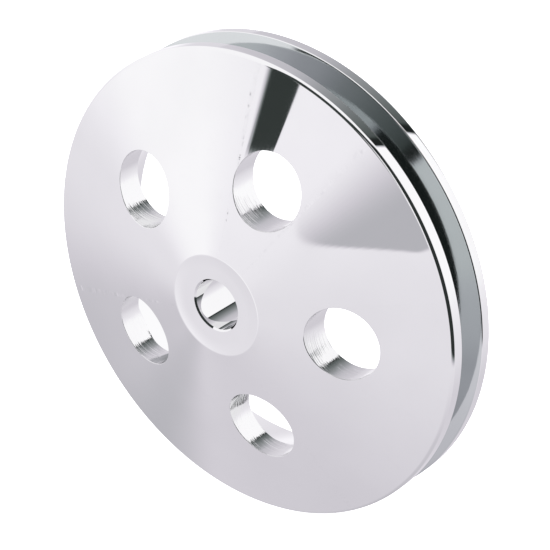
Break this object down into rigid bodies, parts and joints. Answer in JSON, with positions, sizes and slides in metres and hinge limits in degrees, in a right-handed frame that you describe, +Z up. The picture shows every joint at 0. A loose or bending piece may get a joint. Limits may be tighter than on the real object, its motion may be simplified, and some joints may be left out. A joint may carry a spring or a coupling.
{
  "type": "v-belt pulley",
  "caption": "Chrome single-groove V-belt pulley with a shallow cone face, round lightening holes and a press-fit hub.",
  "frame": {"origin": "on the bore axis, in the middle plane of the belt groove", "axes": "+Y along the bore axis from the front face to the rear, so the cone face looks towards -Y; +Z up; +X passes through the middle of one lightening hole"},
  "size_m": [0.165, 0.0366, 0.165],
  "materials": {
    "sheave_chrome": "mirror-polished bright chrome plate over a machined aluminium disc; fine turning lines left in the lightening holes",
    "hub_chrome": "bright chrome plate over a turned steel sleeve, softly polished edges, smooth bore"
  },
  "bodies": {
    "root": {"sheave": "sheave_chrome", "hub": "hub_chrome"}
  },
  "joints": []
}
